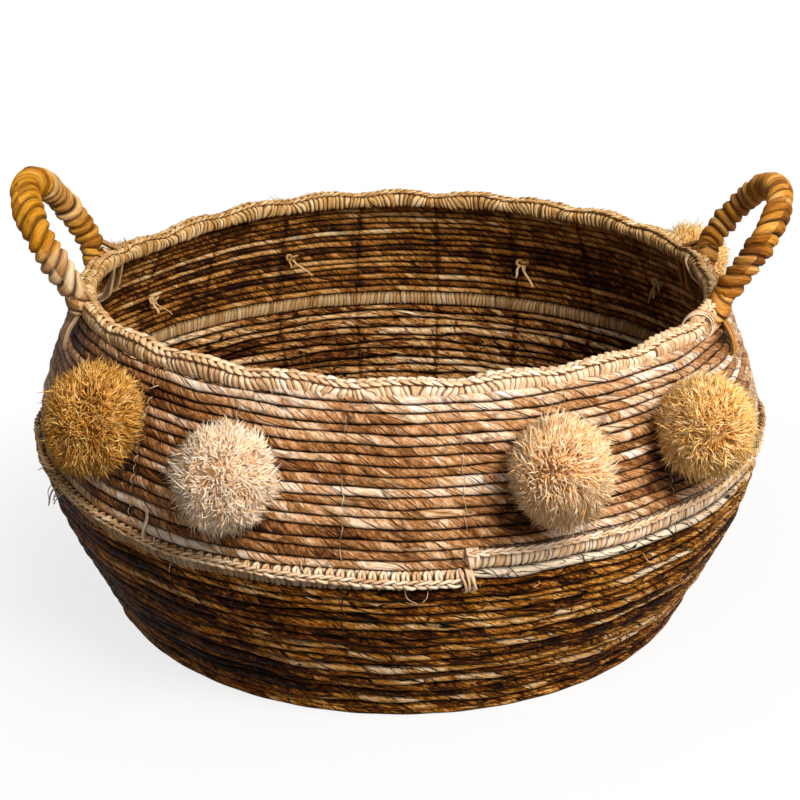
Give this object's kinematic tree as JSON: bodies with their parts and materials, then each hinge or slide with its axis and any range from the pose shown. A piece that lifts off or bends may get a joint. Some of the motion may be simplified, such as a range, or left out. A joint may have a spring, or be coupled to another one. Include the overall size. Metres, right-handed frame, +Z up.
{
  "type": "banana leaf basket",
  "caption": "Round coiled banana leaf basket with a fat belly, bound rim and belly band, raffia pompoms and two wound loop handles that flop in and out.",
  "frame": {"origin": "middle of the base's flat underside, on the surface that the basket stands on", "axes": "+Z up along the basket's axis, -Y towards the front, +X towards the right handle"},
  "size_m": [0.4431, 0.4728, 0.2545],
  "materials": {
    "leaf_rope": "twisted dry banana leaf rope, mottled brown, satin",
    "dark_leaf_rope": "twisted dry banana leaf rope, dark brown, satin",
    "pale_raffia": "pale raffia wraps and chain stitches, dry and fibrous",
    "golden_leaf": "broad golden leaf strips, wound, satin",
    "shredded_raffia": "thin cut raffia strands, matt"
  },
  "bodies": {
    "basket": {"base_coil": "dark_leaf_rope", "lower_wall_rope_a": "dark_leaf_rope", "lower_wall_rope_b": "dark_leaf_rope", "belly_band_rope": "pale_raffia", "belly_band_chain_stitch": "pale_raffia", "upper_wall_rope_a": "leaf_rope", "upper_wall_rope_b": "leaf_rope", "rim_bound_rope": "pale_raffia", "rim_chain_stitch": "pale_raffia", "lashing_left_front_a": "golden_leaf", "lashing_left_front_b": "golden_leaf", "lashing_left_back_a": "golden_leaf", "lashing_left_back_b": "golden_leaf", "lashing_right_front_a": "golden_leaf", "lashing_right_front_b": "golden_leaf", "lashing_right_back_a": "golden_leaf", "lashing_right_back_b": "golden_leaf", "pompom_front_left_outer": "shredded_raffia", "pompom_tie_front_left_outer": "pale_raffia", "pompom_front_left_inner": "shredded_raffia", "pompom_tie_front_left_inner": "pale_raffia", "pompom_front_right_inner": "shredded_raffia", "pompom_tie_front_right_inner": "pale_raffia", "pompom_front_right_outer": "shredded_raffia", "pompom_tie_front_right_outer": "pale_raffia", "pompom_back_right_outer": "shredded_raffia", "pompom_tie_back_right_outer": "pale_raffia", "pompom_back_right_inner": "shredded_raffia", "pompom_tie_back_right_inner": "pale_raffia", "pompom_back_left_inner": "shredded_raffia", "pompom_tie_back_left_inner": "pale_raffia", "pompom_back_left_outer": "shredded_raffia", "pompom_tie_back_left_outer": "pale_raffia"},
    "handle_left": {"handle_core_left": "dark_leaf_rope", "handle_winding_left": "golden_leaf"},
    "handle_right": {"handle_core_right": "dark_leaf_rope", "handle_winding_right": "golden_leaf"}
  },
  "joints": [
    {"name": "handle_left_flop", "type": "hinge", "parent": "basket", "child": "handle_left", "pos_m": [-0.18176, -0.0159, 0.19755], "axis": [0.0872, -0.9962, 0], "range_deg": [-75.5, 19.5]},
    {"name": "handle_right_flop", "type": "hinge", "parent": "basket", "child": "handle_right", "pos_m": [0.18176, -0.0159, 0.19755], "axis": [0.0872, 0.9962, 0], "range_deg": [-79.5, 15.5]}
  ]
}
